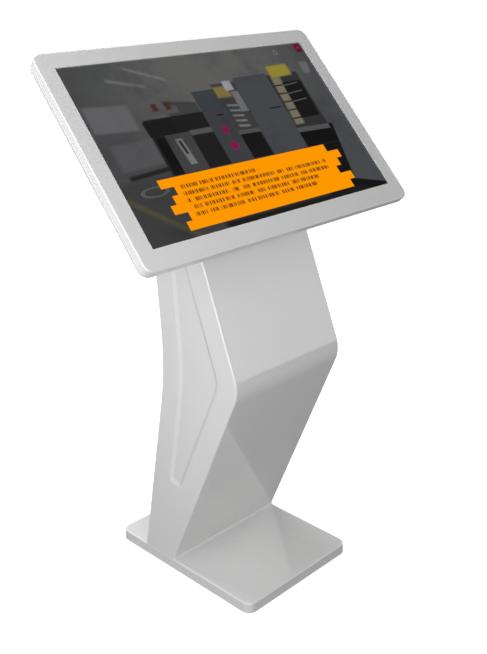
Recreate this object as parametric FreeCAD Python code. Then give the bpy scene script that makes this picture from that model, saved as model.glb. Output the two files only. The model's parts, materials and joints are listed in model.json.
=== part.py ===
import FreeCAD, Part
import math
import os
from FreeCAD import Matrix, Placement, Vector

# Touchscreen kiosk: a wide tilted screen head on a kneed sheet-metal column and a slab base.
# Millimetres. The origin is on the floor under the middle of the base. The visitor stands
# at -Y and looks along +Y, +X is to the visitor's right and +Z is up.

# ---------------------------------------------------------------- base
base_width = 318.0
base_depth = 394.0
base_height = 22.0
base_corner_r = 20.0
base_edge_r = 3.0
base_wall = 3.0
ballast_thick = 10.0
ballast_margin = 9.0
foot_inset = 38.0
foot_stem_r = 5.0
foot_pad_r = 14.0
foot_pad_thick = 5.0
foot_lift = 0.6
foot_bush_r = 9.0
foot_bush_length = 9.0
foot_nut_thick = 2.5
foot_pad_chamfer = 1.0
base_bolt_x = 110.0
base_bolt_y = 20.0

# ---------------------------------------------------------------- column
skin = 2.0
column_edge_r = 3.5
return_flange = 12.0
knee_y = -161.0
knee_z = 471.0
knee_r = 68.0
column_front_y = 26.0
column_rear_y = 114.0
rear_bend_y = 50.0
rear_bend_z = 461.0
rear_bend_r = 650.0
upper_front_lean = 22.2
upper_rear_lean = 6.8
flare_r = 4.0
toe_edge = 0.4
outline_overrun = 160.0
outline_margin = 20.0
recess_margin = 48.0
recess_depth = 4.0
recess_slope = 9.0
recess_bottom_z = 204.0
recess_top_z = 735.0
recess_corner_r = 15.0
recess_knee_r = 58.0
rib_width = 30.0
rib_thick = 4.0
rib_bolt_y = 20.0
rib_bolt_z = 34.0
foot_plate_margin = 10.0
foot_plate_thick = 8.0
upright_thick = 4.0
upright_height = 50.0
upright_setback = 6.0

# ---------------------------------------------------------------- head
screen_width = 698.4
screen_height = 392.9
screen_tilt = 42.4
screen_centre_y = -1.0
screen_centre_z = 944.7
frame_side = 36.6
frame_top = 35.3
frame_bottom = 41.6
head_corner_r = 20.0
head_edge_r = 2.5
seam_edge_r = 0.6
frame_depth = 16.0
rim_depth = 28.0
rim_edge_r = 11.0
housing_depth = 58.0
housing_inset = 48.0
housing_taper = 8.0
housing_corner_r = 30.0
head_wall = 2.0
face_thick = 2.5
screen_corner_r = 1.5
glass_lap = 9.0
glass_thick = 4.0
gasket_thick = 0.8
gasket_width = 7.0
touch_thick = 4.0
touch_width = 7.0
lcd_thick = 11.7
rail_thick = 2.5
rail_width = 20.0
rail_x = 300.0
mount_plate_thick = 4.0
bracket_thick = 5.0
bracket_flange = 18.0
rim_screw_inset = 17.0
rim_screw_corner = 60.0
rim_post_r = 4.5
rim_screw_length = 12.0
bracket_margin = 22.0
bracket_wing_margin = 34.0
head_bolt_x = 95.0
head_bolt_margin = 38.0
mount_plate_half = 135.0
mount_plate_margin = 8.0
cable_way = (36.0, 24.0)
cable_way_r = 8.0
cover_size = (150.0, 24.0)
cover_rise = 7.4
cover_lap = 8.0
cover_thick = 1.5
cover_screw_inset = 4.0
speaker_x = 228.0
speaker_rise = 62.0
speaker_size = (96.0, 56.0, 20.0)
speaker_slot = (60.0, 3.0)
speaker_slot_pitch = 7.0
vent_slot = (4.0, 46.0)
vent_slot_pitch = 11.0
vent_slot_x = 200.0
vent_slots_each = 9
speaker_slots_each = 6
lcd_back_step = 4.0
lcd_back_inset = 14.0
board_gap = 6.0
board_thick = 1.6
board_post_r = 2.5
board_post_inset = 5.0
controller_area = (-130.0, 20.0, 105.0, 165.0)
lighting_area = (60.0, 180.0, 105.0, 165.0)
touch_area = (-40.0, 40.0, -160.0, -120.0)

# ---------------------------------------------------------------- rear door and lock
door_width = 236.0
door_height = 244.0
door_centre_z = 232.0
door_gap = 1.5
door_corner_r = 6.0
door_flange = 9.0
door_edge_r = 0.8
hinge_offset = 80.0
hinge_length = 60.0
hinge_knuckle_r = 4.0
hinge_pin_r = 1.6
hinge_leaf_width = 22.0
hinge_leaf_thick = 2.0
hinge_lift = 0.4
hinge_cap_thick = 1.2
hinge_pin_overrun = 1.5
lock_edge = 18.0
lock_flange_r = 11.0
lock_body_r = 8.0
lock_rotor_r = 6.0
lock_length = 18.0
cam_length = 30.0
cam_width = 12.0
cam_thick = 3.0
lock_flange_thick = 2.0
lock_nut_rim = 5.0
lock_nut_thick = 4.0
lock_face = 2.4
key_slot = (1.6, 7.2)
key_slot_floor = 0.4

# ---------------------------------------------------------------- rear fittings
inlet_z = 66.0
inlet_x = 62.0
inlet_size = (62.0, 32.0)
inlet_depth = 30.0
inlet_bezel = 2.0
socket_size = (24.0, 17.0)
socket_depth = 16.0
socket_offset = 12.0
rocker_size = (13.0, 20.0)
rocker_offset = 19.0
rocker_angle = 6.0
rocker_pivot_depth = 5.0
rocker_clear = 0.6
rocker_well = 14.0
rocker_proud = 1.4
rocker_dip = 0.6
rocker_skirt = 7.0
rocker_draft = 0.72
trunnion_r = 1.5
trunnion_reach = 2.0
inlet_flange = 3.0
inlet_corner_r = 3.0
pin_pitch = 7.0
pin_stagger = 3.5
pin_size = (2.0, 4.0, 6.0)
button_x = -62.0
button_cap_r = 7.0
button_ring_r = 11.0
button_depth = 18.0
button_travel = 1.5
button_flange = 2.0
button_floor = 3.0
button_proud = 2.6
button_edge_r = 0.8
seat_overlap = 0.5
fan_z = 650.0
fan_size = 80.0
fan_thick = 25.0
fan_bore_r = 38.0
fan_hub_r = 13.0
fan_blades = 7
fan_screw_pitch = 71.5
guard_wire_r = 1.1
guard_height = 2.9
guard_rings = (9.0, 18.0, 27.0, 36.0)
guard_eye_r = 4.2
guard_bar_drop = 0.04
fan_corner_r = 5.0
fan_arm = (4.0, 3.0)
fan_seat_thick = 3.5
fan_spindle_r = 1.5
fan_spindle_length = 14.0
fan_tip_gap = 1.2
fan_front_gap = 3.0
blade_chord = 22.0
blade_thick = 1.6
blade_pitch = 52.0

# ---------------------------------------------------------------- equipment
shelf_z = 205.0
shelf_thick = 2.0
shelf_lip = 14.0
player_size = (150.0, 92.0, 40.0)
supply_size = (150.0, 50.0, 34.0)
supply_overhang = 14.0
supply_post = 8.0
strip_size = (120.0, 26.0, 24.0)
shelf_front_gap = 8.0
shelf_back_gap = 6.0
player_gap = 6.0
player_grooves = 9
supply_grooves = 12
strip_ways = 10
strip_gap = 20.0

# ---------------------------------------------------------------- fits
running_gap = 0.08
screw_gap = 0.15
cover_gap = 0.3
bolt_r = 4.0
small_bolt_r = 3.0
screw_r = 2.0

PARTS = "parts"
BIG = 2000.0
THROUGH = 99.0

base_top = base_height
column_width = base_width
half_column = column_width / 2
glass_width = screen_width + 2 * glass_lap
glass_height = screen_height + 2 * glass_lap
head_half = screen_width / 2 + frame_side
head_top = screen_height / 2 + frame_top
head_low = -screen_height / 2 - frame_bottom
glass_back = -face_thick - gasket_thick - glass_thick
lcd_front = glass_back - touch_thick
lcd_back = lcd_front - lcd_thick


# ---------------------------------------------------------------- small tools
def box(x0, x1, y0, y1, z0, z1):
    return Part.makeBox(x1 - x0, y1 - y0, z1 - z0, Vector(x0, y0, z0))


def rod(radius, x, y, z0, z1):
    return Part.makeCylinder(radius, z1 - z0, Vector(x, y, z0))


def rod_x(radius, x0, x1, y, z):
    return Part.makeCylinder(radius, x1 - x0, Vector(x0, y, z), Vector(1, 0, 0))


def rod_y(radius, y0, y1, x, z):
    return Part.makeCylinder(radius, y1 - y0, Vector(x, y0, z), Vector(0, 1, 0))


def hexagon(radius, x, y, z0, z1):
    turns = [math.radians(60 * i) for i in range(7)]
    points = [Vector(x + radius * math.cos(a), y + radius * math.sin(a), z0) for a in turns]
    return Part.Face(Part.makePolygon(points)).extrude(Vector(0, 0, z1 - z0))


def slab(x0, x1, y0, y1, z0, z1, radius):
    """A plate with rounded upright edges."""
    body = box(x0, x1, y0, y1, z0, z1)
    upright = [e for e in body.Edges if abs(e.tangentAt(e.FirstParameter).z) > 0.9]
    return body.makeFillet(radius, upright)


def tapered_slab(x0, x1, y0, y1, z0, z1, radius, taper):
    """A plate whose outline shrinks by taper from z0 to z1."""
    wide = rounded_wire(x0, x1, y0, y1, z0, radius)
    narrow = rounded_wire(x0 + taper, x1 - taper, y0 + taper, y1 - taper, z1, radius - taper / 2)
    return Part.makeLoft([wide, narrow], True, True)


def rounded_wire(x0, x1, y0, y1, z, radius):
    corners = [Vector(x0, y0, z), Vector(x1, y0, z), Vector(x1, y1, z), Vector(x0, y1, z)]
    return Part.Wire(rounded_edges(corners, [radius] * 4, closed=True))


def edges_at_height(shape, z):
    """The edges that lie wholly at height z."""
    return [e for e in shape.Edges if abs(e.BoundBox.ZMin - z) < 0.01 and abs(e.BoundBox.ZMax - z) < 0.01]


def rounded_edges(points, radii, closed=False):
    """Straight edges between points, with an arc of each point's radius at its turn."""
    count = len(points)
    ends = []
    for i, point in enumerate(points):
        radius = radii[i]
        if radius == 0 or (not closed and i in (0, count - 1)):
            ends.append((point, None, point))
            continue
        before = (points[i - 1] - point).normalize()
        after = (points[(i + 1) % count] - point).normalize()
        half = before.getAngle(after) / 2
        reach = radius / math.tan(half)
        middle = (before + after).normalize()
        tip = point + middle * (radius / math.sin(half) - radius)
        ends.append((point + before * reach, tip, point + after * reach))
    edges = []
    for i in range(count if closed else count - 1):
        start, tip, stop = ends[i]
        if tip is not None:
            edges.append(Part.Arc(start, tip, stop).toShape())
        following = ends[(i + 1) % count][0]
        if (following - stop).Length > 1e-6:
            edges.append(Part.LineSegment(stop, following).toShape())
    return edges


def offset_points(points, distance):
    """The corners of a path moved sideways by distance, to the right of its direction in (y, z)."""
    moved = []
    count = len(points)
    sides = []
    for a, b in zip(points, points[1:]):
        along = (b - a).normalize()
        sides.append((along, Vector(0, along.z, -along.y)))
    for i, point in enumerate(points):
        if i == 0:
            moved.append(point + sides[0][1] * distance)
        elif i == count - 1:
            moved.append(point + sides[-1][1] * distance)
        else:
            (u, m), (v, n) = sides[i - 1], sides[i]
            moved.append(point + (m + n) * (distance / (1 + m.dot(n))))
    return moved


def placed(shape, origin, ex, ey):
    """Moves a shape from local axes to origin, with local X along ex and local Y along ey."""
    ez = ex.cross(ey)
    matrix = Matrix(ex.x, ey.x, ez.x, origin.x, ex.y, ey.y, ez.y, origin.y,
                    ex.z, ey.z, ez.z, origin.z, 0, 0, 0, 1)
    result = shape.copy()
    result.Placement = Placement(matrix).multiply(result.Placement)
    return result


def fuse(shapes):
    return shapes[0].multiFuse(shapes[1:]).removeSplitter() if len(shapes) > 1 else shapes[0]


def save(name, shape):
    """Writes one node, and stops on a shape that isn't sound."""
    if isinstance(shape, list):
        shape = Part.Compound(shape)
    if not shape.isValid() or shape.Volume <= 0 or not shape.Solids:
        raise ValueError("bad shape: " + name)
    shape.exportStep(os.path.join(PARTS, name + ".step"))


# ---------------------------------------------------------------- local axes
tilt = math.radians(screen_tilt)
head_origin = Vector(0, screen_centre_y, screen_centre_z)
head_x = Vector(1, 0, 0)
head_up = Vector(0, math.sin(tilt), math.cos(tilt))
head_out = head_x.cross(head_up)
back_x = Vector(-1, 0, 0)
lower_up = Vector(0, rear_bend_y - column_rear_y, rear_bend_z - base_top).normalize()
rear_lean = math.radians(upper_rear_lean)
front_lean = math.radians(upper_front_lean)
upper_up = Vector(0, math.sin(rear_lean), math.cos(rear_lean))
front_up = Vector(0, math.sin(front_lean), math.cos(front_lean))


def head_distance(point, direction):
    """How far along direction a point lies from the head's back."""
    return (-housing_depth - (point - head_origin).dot(head_out)) / direction.dot(head_out)


def on_head(shape):
    """From head axes (X right, Y up the screen, Z out of the screen) to the kiosk's axes."""
    return placed(shape, head_origin, head_x, head_up)


def lower_rear_point(z):
    share = (z - base_top) / lower_up.z
    return Vector(0, column_rear_y, base_top) + lower_up * share


def on_lower_rear(shape, z):
    """From axes on the column's lower rear face (Z out of the face) to the kiosk's axes."""
    return placed(shape, lower_rear_point(z), back_x, lower_up)


def on_upper_rear(shape, z):
    """The same for the column's upper rear face."""
    share = (z - rear_bend_z) / upper_up.z
    origin = Vector(0, rear_bend_y, rear_bend_z) + upper_up * share
    return placed(shape, origin, back_x, upper_up)


# ---------------------------------------------------------------- column section
def front_path():
    """The column's front outline in (y, z), from the toe up to beyond the head."""
    toe_run = 2 * (flare_r + return_flange + outline_margin)
    toe = Vector(0, column_front_y - toe_run, base_top + toe_edge)
    slope = (knee_y - column_front_y) / (knee_z - base_top)
    foot = Vector(0, column_front_y + slope * toe_edge, base_top + toe_edge)
    knee = Vector(0, knee_y, knee_z)
    top = knee + front_up * (head_distance(knee, front_up) + outline_overrun)
    return [toe, foot, knee, top]


def rear_path():
    """The column's rear outline in (y, z), from beyond the head down to below the base's top."""
    bend = Vector(0, rear_bend_y, rear_bend_z)
    top = bend + upper_up * (head_distance(bend, upper_up) + outline_overrun)
    foot = lower_rear_point(0.0)
    return [top, bend, foot]


def front_edges(inset, turned=False):
    """The front outline moved in by inset, from toe to top, or turned end for end."""
    points, radii = offset_points(front_path(), inset), [0, flare_r + inset, knee_r - inset, 0]
    return rounded_edges(points[::-1], radii[::-1]) if turned else rounded_edges(points, radii)


def rear_edges(inset, turned=False):
    """The rear outline moved in by inset, from top to foot, or turned end for end."""
    points, radii = offset_points(rear_path(), inset), [0, rear_bend_r + inset, 0]
    return rounded_edges(points[::-1], radii[::-1]) if turned else rounded_edges(points, radii)


def join_edge(before, after):
    """The straight edge from the end of one edge to the start of the next."""
    return Part.LineSegment(before.lastVertex(True).Point, after.firstVertex(True).Point).toShape()


def prism_between(first, second, x0, x1):
    """The area between two outlines that run opposite ways, as a prism from x0 to x1."""
    across = join_edge(first[-1], second[0])
    back = join_edge(second[-1], first[0])
    wire = Part.Wire(first + [across] + second + [back])
    wire.translate(Vector(x0, 0, 0))
    return Part.Face(wire).extrude(Vector(x1 - x0, 0, 0))


def section_prism(front, rear, x0, x1):
    """The column's section, inset by front and rear, as an untrimmed prism from x0 to x1."""
    return prism_between(front_edges(front), rear_edges(rear), x0, x1)


def above_head_back(clearance=0.0):
    """Everything above the plane where the column meets the head."""
    return on_head(box(-BIG, BIG, -BIG, BIG, -housing_depth - clearance, BIG))


def trimmed(shape, top_clearance=0.0, bottom_clearance=0.0):
    """Cuts a column piece at the base's top, at the toe and at the head's back."""
    toe_y = column_front_y - flare_r / math.tan((math.pi / 2 - front_foot_angle()) / 2)
    shape = shape.cut(box(-BIG, BIG, -BIG, BIG, -BIG, base_top + bottom_clearance))
    shape = shape.cut(box(-BIG, BIG, -BIG, toe_y, base_top - 1, base_top + flare_r / 2))
    return shape.cut(above_head_back(top_clearance))


def front_foot_angle():
    """How far the lower front leans from upright."""
    return math.atan2(column_front_y - knee_y, knee_z - base_top)


def mating_u(point, direction):
    """Where a line of the column's outline meets the head's back, up the screen from its centre."""
    return (point + direction * head_distance(point, direction) - head_origin).dot(head_up)


column_u0 = mating_u(Vector(0, knee_y, knee_z), front_up)
column_u1 = mating_u(Vector(0, rear_bend_y, rear_bend_z), upper_up)
column_u = (column_u0 + column_u1) / 2
bolt_u = (column_u1 - column_u0) / 2 - head_bolt_margin
head_bolts = [(sx * head_bolt_x, column_u + su * bolt_u) for sx in (-1, 1) for su in (-1, 1)]


# ---------------------------------------------------------------- base
def foot_places():
    x = base_width / 2 - foot_inset
    y = base_depth / 2 - foot_inset
    return [(-x, -y), (x, -y), (x, y), (-x, y)]


foot_plate_y = (column_front_y + foot_plate_margin, column_rear_y - foot_plate_margin)
foot_plate_middle = sum(foot_plate_y) / 2
base_bolts = [(sx * base_bolt_x, foot_plate_middle + sy * base_bolt_y)
              for sx in (-1, 1) for sy in (-1, 1)]


def base_shell():
    """A steel slab, hollow from below, with its upper edge rounded."""
    x, y = base_width / 2, base_depth / 2
    body = slab(-x, x, -y, y, 0, base_height, base_corner_r)
    body = body.makeFillet(base_edge_r, edges_at_height(body, base_height))
    x, y = x - base_wall, y - base_wall
    body = body.cut(slab(-x, x, -y, y, -1, base_height - base_wall, base_corner_r - base_wall))
    for px, py in base_bolts:
        body = body.cut(rod(bolt_r + screw_gap, px, py, 0, base_height + 1))
    return body


ballast_top = base_height - base_wall
ballast_low = ballast_top - ballast_thick


def ballast_plate():
    """The weight bolted under the slab, which also holds the feet."""
    x = base_width / 2 - base_wall - ballast_margin
    y = base_depth / 2 - base_wall - ballast_margin
    body = slab(-x, x, -y, y, ballast_low, ballast_top, base_corner_r - base_wall)
    for px, py in foot_places():
        body = body.cut(rod(foot_bush_r, px, py, 0, base_height))
    for px, py in base_bolts:
        body = body.cut(rod(bolt_r + screw_gap, px, py, 0, base_height))
    return body


def foot_bushes():
    """Threaded bushes in the ballast plate, shown with plain bores."""
    low = ballast_top - foot_bush_length
    return [rod(foot_bush_r, x, y, low, ballast_top).cut(rod(foot_stem_r + running_gap, x, y, 0, THROUGH))
            for x, y in foot_places()]


def levelling_foot(x, y):
    """A pad with a stem, which screws down out of its bush."""
    pad = rod(foot_pad_r, x, y, foot_lift, foot_lift + foot_pad_thick)
    pad = pad.makeChamfer(foot_pad_chamfer, edges_at_height(pad, foot_lift))
    stem = rod(foot_stem_r, x, y, foot_lift + foot_pad_thick, ballast_top - foot_lift)
    return fuse([pad, stem])


def foot_nuts():
    """Flat collars under the bushes, each held to its bush."""
    high = ballast_top - foot_bush_length
    nuts = []
    for x, y in foot_places():
        nut = hexagon(foot_bush_r, x, y, high - foot_nut_thick, high)
        nuts.append(nut.cut(rod(foot_stem_r + cover_gap, x, y, 0, THROUGH)))
    return nuts


def bolts_up(places, radius, low, high, head_thick):
    """Bolts with a hexagon head below and a plain shank up."""
    return [fuse([rod(radius, x, y, low, high), hexagon(radius * 1.9, x, y, high, high + head_thick)])
            for x, y in places]


# ---------------------------------------------------------------- column skins
def edge_on_path(edge, path_edges):
    """True if an edge lies along one of the path's edges, seen along X."""
    middle = edge.valueAt((edge.FirstParameter + edge.LastParameter) / 2)
    flat = Part.Vertex(0, middle.y, middle.z)
    return any(flat.distToShape(p)[0] < 1e-3 for p in path_edges)


def bent_cover(outer_edges, solid, hollow):
    """A bent sheet with its long edges folded round: solid rounded outside, less its hollow."""
    long_edges = []
    for edge in solid.Edges:
        middle = edge.valueAt((edge.FirstParameter + edge.LastParameter) / 2)
        if abs(abs(middle.x) - half_column) > 0.01:
            continue
        if edge_on_path(edge, outer_edges) and edge.BoundBox.XLength < 0.01:
            long_edges.append(edge)
    solid = solid.makeFillet(column_edge_r, long_edges)
    return trimmed(solid.cut(hollow))


def front_panel():
    """The front skin: two flats, the knee between them and a flare on to the base."""
    inner = half_column - skin
    solid = prism_between(front_edges(0), front_edges(return_flange, True), -half_column, half_column)
    behind = front_edges(return_flange + outline_margin, True)
    hollow = prism_between(front_edges(skin), behind, -inner, inner)
    return bent_cover(front_edges(0), solid, hollow)


def door_opening(grow=0.0):
    """The door's outline in the axes of the lower rear face."""
    x, y = door_width / 2 + grow, door_height / 2 + grow
    return slab(-x, x, -y, y, -40, 40, door_corner_r + grow)


def rear_panel():
    """The rear skin, with the doorway, the fan opening and the holes for the fittings."""
    inner = half_column - skin
    solid = prism_between(rear_edges(0), rear_edges(return_flange, True), -half_column, half_column)
    hollow = prism_between(rear_edges(skin), rear_edges(return_flange + outline_margin, True), -inner, inner)
    body = bent_cover(rear_edges(0), solid, hollow)
    body = body.cut(on_lower_rear(door_opening(door_gap), door_centre_z))
    w, h = inlet_size[0] / 2 - inlet_flange, inlet_size[1] / 2 - inlet_flange
    cuts = box(inlet_x - w, inlet_x + w, -h, h, -THROUGH, THROUGH)
    body = body.cut(on_lower_rear(cuts, inlet_z))
    button_hole = rod(button_ring_r - button_flange, button_x, 0, -THROUGH, THROUGH)
    body = body.cut(on_lower_rear(button_hole, inlet_z))
    body = body.cut(on_upper_rear(rod(fan_bore_r, 0, 0, -THROUGH, THROUGH), fan_z))
    for x, y in fan_screw_places():
        body = body.cut(on_upper_rear(rod(screw_r + screw_gap, x, y, -THROUGH, THROUGH), fan_z))
    return body


def recess_outline(x, inset):
    """The pressed panel's outline at x, inside the column's outline by the margin and inset."""
    margin = recess_margin + inset
    fore = offset_points(front_path(), margin)
    aft = offset_points(rear_path(), margin)
    low_z, high_z = recess_bottom_z + inset, recess_top_z - inset
    points = [at_height(fore[1], fore[2], low_z), fore[2], at_height(fore[2], fore[3], high_z),
              at_height(aft[0], aft[1], high_z), aft[1], at_height(aft[1], aft[2], low_z)]
    corner = recess_corner_r - inset
    radii = [corner, recess_knee_r - inset, corner, corner, rear_bend_r + margin, corner]
    return Part.Wire([moved_x(e, x) for e in rounded_edges(points, radii, closed=True)])


def moved_x(shape, x):
    copy = shape.copy()
    copy.translate(Vector(x, 0, 0))
    return copy


def at_height(a, b, z):
    share = (z - a.z) / (b.z - a.z)
    return a + (b - a) * share


def side_panel(side):
    """A flat side skin with a long panel pressed into it."""
    outer, inner = side * half_column, side * (half_column - skin)
    low, high = min(outer, inner), max(outer, inner)
    sheet = trimmed(section_prism(return_flange, return_flange, low, high))
    inward = -side
    floor = recess_outline(outer + inward * recess_depth, recess_slope)
    pan = Part.makeLoft([recess_outline(outer, 0), floor], True, True)
    pressed = Part.makeLoft([recess_outline(inner, -skin / 2),
                             recess_outline(inner + inward * recess_depth, recess_slope - skin / 2)],
                            True, True)
    return sheet.fuse(pressed).cut(pan)


def rib(side):
    """An upright frame inside a side skin, which carries the head."""
    outer = side * (half_column - skin)
    inner = outer - side * rib_thick
    low, high = min(outer, inner), max(outer, inner)
    plate = section_prism(skin + cover_gap, skin + cover_gap, low, high)
    window = section_prism(rib_width, rib_width, low - 1, high + 1)
    window = trimmed(window, rib_width, rib_width * 2)
    body = trimmed(plate).cut(window)
    for y, z in rib_bolt_places():
        body = body.cut(rod_x(small_bolt_r + screw_gap, low - 1, high + 1, y, z))
    return body


def rib_bolt_places():
    """Where the foot plate's uprights are bolted to the ribs, as (y, z)."""
    return [(foot_plate_middle + sy * rib_bolt_y, base_top + rib_bolt_z) for sy in (-1, 1)]


upright_face = half_column - skin - rib_thick


def foot_plate():
    """The plate inside the column's foot, bolted down to the base."""
    y0, y1 = foot_plate_y
    parts = [box(-upright_face, upright_face, y0, y1, base_top, base_top + foot_plate_thick)]
    for side in (-1, 1):
        a, b = side * upright_face, side * (upright_face - upright_thick)
        parts.append(box(min(a, b), max(a, b), y0, y1 - upright_setback, base_top, base_top + upright_height))
    body = fuse(parts)
    for x, y in base_bolts:
        body = body.cut(rod(bolt_r + screw_gap, x, y, 0, THROUGH))
    for y, z in rib_bolt_places():
        body = body.cut(rod_x(small_bolt_r + screw_gap, -BIG, BIG, y, z))
    return body


def rib_bolts():
    """Bolts through the foot plate's uprights into the ribs."""
    bolts = []
    for side in (-1, 1):
        for y, z in rib_bolt_places():
            start = side * (half_column - skin)
            stop = side * (upright_face - upright_thick)
            head = side * (upright_face - upright_thick - 4.0)
            shank = rod_x(small_bolt_r, min(start, stop), max(start, stop), y, z)
            cap = rod_x(small_bolt_r * 1.7, min(stop, head), max(stop, head), y, z)
            bolts.append(fuse([shank, cap]))
    return bolts


def cable_opening(front=THROUGH):
    """The cutter for the way that leads take from the column into the head."""
    x, u = cable_way
    return slab(-x, x, column_u - u, column_u + u, -THROUGH, front, cable_way_r)


def head_bracket():
    """The plate across the column's top, with turned-down ends, bolted to the head."""
    u0, u1 = column_u0 + bracket_margin, column_u1 - bracket_margin
    w0, w1 = column_u0 + bracket_wing_margin, column_u1 - bracket_wing_margin
    back = -housing_depth
    parts = [box(-upright_face, upright_face, u0, u1, back - bracket_thick, back)]
    for side in (-1, 1):
        a, b = side * upright_face, side * (upright_face - upright_thick)
        parts.append(box(min(a, b), max(a, b), w0, w1, back - bracket_flange, back))
    body = fuse(parts)
    body = body.cut(cable_opening())
    for x, u in head_bolts:
        body = body.cut(rod(bolt_r + screw_gap, x, u, -THROUGH, THROUGH))
    return on_head(body)


def head_bolt_set():
    """Bolts up through the bracket and the head's back into the mounting plate."""
    low = -housing_depth - bracket_thick
    high = -housing_depth + head_wall + mount_plate_thick
    bolts = []
    for x, u in head_bolts:
        head = hexagon(bolt_r * 1.8, x, u, low - 5.0, low)
        bolts.append(on_head(fuse([rod(bolt_r, x, u, low, high), head])))
    return bolts


# ---------------------------------------------------------------- door
door_x0 = -door_width / 2


def rear_door():
    """A flat door with folded edges, set flush in the lower rear face."""
    x, y = door_width / 2, door_height / 2
    body = slab(-x, x, -y, y, -door_flange, 0, door_corner_r)
    edges = edges_at_height(body, 0)
    body = body.makeFillet(door_edge_r, edges)
    body = body.cut(slab(-x + skin, x - skin, -y + skin, y - skin, -door_flange - 1, -skin,
                         door_corner_r - skin))
    body = body.cut(rod(lock_body_r + screw_gap, x - lock_edge, 0, -THROUGH, THROUGH))
    return on_lower_rear(body, door_centre_z)


hinge_axis_x = door_x0 - door_gap / 2
hinge_axis_z = hinge_knuckle_r + hinge_lift


def knuckle(y0, y1, side):
    """One hinge knuckle with its tab, on the panel's side (-1) or the door's side (+1)."""
    barrel = rod_y(hinge_knuckle_r, y0, y1, hinge_axis_x, hinge_axis_z)
    a, b = hinge_axis_x + side * hinge_knuckle_r, hinge_axis_x + side
    tab = box(min(a, b), max(a, b), y0, y1, hinge_lift, hinge_leaf_thick)
    return fuse([barrel, tab])


def hinge_leaf(centre, side):
    """A hinge leaf with its knuckles: two on the panel's side, one on the door's."""
    low = centre - hinge_length / 2
    third = hinge_length / 3
    gap = cover_gap
    if side < 0:
        spans = [(low, low + third - gap), (low + 2 * third + gap, low + hinge_length)]
    else:
        spans = [(low + third, low + 2 * third)]
    a = hinge_axis_x + side * hinge_knuckle_r
    b = hinge_axis_x + side * hinge_leaf_width
    leaf = box(min(a, b), max(a, b), low, low + hinge_length, 0, hinge_leaf_thick)
    body = fuse([leaf] + [knuckle(y0, y1, side) for y0, y1 in spans])
    bore = rod_y(hinge_pin_r + running_gap, low - 1, low + hinge_length + 1, hinge_axis_x, hinge_axis_z)
    return on_lower_rear(body.cut(bore), door_centre_z)


def hinge_pins():
    pins = []
    for centre in (-hinge_offset, hinge_offset):
        low, high = centre - hinge_length / 2, centre + hinge_length / 2
        low, high = low - hinge_pin_overrun, high + hinge_pin_overrun
        pin = rod_y(hinge_pin_r, low, high, hinge_axis_x, hinge_axis_z)
        caps = [rod_y(hinge_pin_r * 1.7, y, y + hinge_cap_thick, hinge_axis_x, hinge_axis_z)
                for y in (low, high - hinge_cap_thick)]
        pins.append(on_lower_rear(fuse([pin] + caps), door_centre_z))
    return pins


lock_x = door_width / 2 - lock_edge


def lock_barrel():
    body = fuse([rod(lock_flange_r, lock_x, 0, 0, lock_flange_thick),
                 rod(lock_body_r, lock_x, 0, -lock_length, seat_overlap)])
    bore = rod(lock_rotor_r + running_gap, lock_x, 0, -THROUGH, THROUGH)
    return on_lower_rear(body.cut(bore), door_centre_z)


def lock_nut():
    body = hexagon(lock_body_r + lock_nut_rim, lock_x, 0, -skin - lock_nut_thick, -skin)
    bore = rod(lock_body_r + running_gap, lock_x, 0, -THROUGH, THROUGH)
    return on_lower_rear(body.cut(bore), door_centre_z)


def lock_rotor():
    """The turning core, with a key slot in its face."""
    body = rod(lock_rotor_r, lock_x, 0, -lock_length - cover_gap, lock_face)
    x, y = key_slot[0] / 2, key_slot[1] / 2
    slot = box(lock_x - x, lock_x + x, -y, y, key_slot_floor, THROUGH)
    return on_lower_rear(body.cut(slot), door_centre_z)


def lock_cam():
    """The tongue behind the core, upright when unlocked."""
    low = -lock_length - cover_gap - cam_thick
    high = low + cam_thick
    w = cam_width / 2
    body = fuse([box(lock_x - w, lock_x + w, 0, cam_length - w, low, high),
                 rod(w, lock_x, 0, low, high), rod(w, lock_x, cam_length - w, low, high)])
    return on_lower_rear(body, door_centre_z)


# ---------------------------------------------------------------- power fittings
socket_x = inlet_x - socket_offset
rocker_x = inlet_x + rocker_offset


def rocker_rise():
    """How high the rocker's tips stand over the line between its flats."""
    return rocker_size[1] / 2 * math.tan(math.radians(rocker_angle))


def rocker_reach():
    """How far from its middle the tip of the tilted rocker comes."""
    angle = math.radians(rocker_angle)
    tip_height = rocker_rise() + rocker_proud + rocker_pivot_depth
    return rocker_size[1] / 2 * math.cos(angle) + tip_height * math.sin(angle)


def inlet_module():
    """The mains inlet with a socket and the rocker's well in one housing."""
    w, h = inlet_size[0] / 2, inlet_size[1] / 2
    bezel = slab(inlet_x - w, inlet_x + w, -h, h, 0, inlet_bezel, inlet_corner_r)
    bw, bh = w - inlet_flange - screw_gap, h - inlet_flange - screw_gap
    body = fuse([bezel, box(inlet_x - bw, inlet_x + bw, -bh, bh, -inlet_depth, seat_overlap)])
    sw, sh = socket_size[0] / 2, socket_size[1] / 2
    body = body.cut(box(socket_x - sw, socket_x + sw, -sh, sh, inlet_bezel - socket_depth, THROUGH))
    rw, rh = rocker_size[0] / 2 + rocker_clear, rocker_reach() + rocker_clear
    body = body.cut(box(rocker_x - rw, rocker_x + rw, -rh, rh, -rocker_well, THROUGH))
    reach = rw + trunnion_reach + rocker_clear
    body = body.cut(rod_x(trunnion_r + running_gap, rocker_x - reach, rocker_x + reach, 0,
                          -rocker_pivot_depth))
    return on_lower_rear(body, inlet_z)


def inlet_pins():
    """Three short contact blades at the bottom of the socket."""
    floor = inlet_bezel - socket_depth
    w, h, length = pin_size[0] / 2, pin_size[1] / 2, pin_size[2]
    pins = []
    for step in (-1, 0, 1):
        x = socket_x + step * pin_pitch
        y = pin_stagger * (0.57 - abs(step))
        pins.append(on_lower_rear(box(x - w, x + w, y - h, y + h, floor, floor + length), inlet_z))
    return pins


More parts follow.
